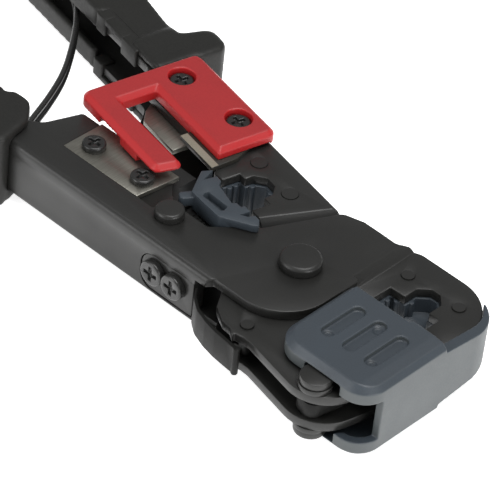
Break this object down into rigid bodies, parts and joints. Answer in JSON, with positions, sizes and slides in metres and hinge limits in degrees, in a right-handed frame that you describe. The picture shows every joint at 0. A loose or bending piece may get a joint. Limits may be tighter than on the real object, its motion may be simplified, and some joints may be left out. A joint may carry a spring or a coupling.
{
  "type": "modular plug crimping tool",
  "caption": "Hand crimping tool for modular plugs: two sprung steel levers on a rivet, with crimp dies, a cable cutter, stripping blades, a guard and moulded grips.",
  "frame": {"origin": "centre of the main rivet's lower head, in the plane that the tool lies on", "axes": "+X along the frame lever towards the jaw, +Y towards the moving lever, +Z along the rivet, away from the resting plane"},
  "size_m": [0.2003, 0.0758, 0.0177],
  "materials": {
    "black_steel": "satin black oxide",
    "slate_plastic": "satin moulded slate",
    "red_plastic": "satin moulded red",
    "black_grip": "matt moulded black",
    "blade_steel": "ground steel",
    "die_steel": "machined steel",
    "dark_screw": "black oxide, semi-gloss",
    "spring_steel": "oiled dark wire"
  },
  "bodies": {
    "frame": {"frame_channel": "black_steel", "main_rivet": "black_steel", "nest_8p": "slate_plastic", "nest_8p_rivets": "black_steel", "jaw_cover": "slate_plastic", "cutter_blade": "blade_steel", "cutter_screws": "dark_screw", "plug_guide": "slate_plastic", "guide_pin": "black_steel", "die_6p": "die_steel", "leaf_base": "black_steel", "leaf_screws": "dark_screw", "lower_grip": "black_grip", "handle_spring": "spring_steel"},
    "leaf": {"leaf_lip": "black_steel", "leaf_pawl": "black_steel"},
    "lever": {"lever_channel": "black_steel", "nest_6p": "slate_plastic", "nest_6p_rivets": "black_steel", "strip_blade_upper": "blade_steel", "strip_blade_lower": "blade_steel", "blade_guard": "red_plastic", "guard_screws": "dark_screw", "jaw_pin": "black_steel", "jaw_pin_rings": "black_steel", "die_8p": "die_steel", "lever_rivet": "black_steel", "upper_grip": "black_grip"}
  },
  "joints": [
    {"name": "handle_hinge", "type": "hinge", "parent": "frame", "child": "lever", "pos_m": [0, 0, 0.0082], "axis": [0, 0, 1], "range_deg": [0, 12.4], "stiffness_Nm_per_rad": 0.6, "springref_deg": -34.38, "deforming": ["handle_spring"]},
    {"name": "leaf_hinge", "type": "hinge", "parent": "frame", "child": "leaf", "pos_m": [-0.012, -0.015, 0.0082], "axis": [0, 0, 1], "range_deg": [-3, 0], "stiffness_Nm_per_rad": 0.5, "springref_deg": 11.46}
  ]
}
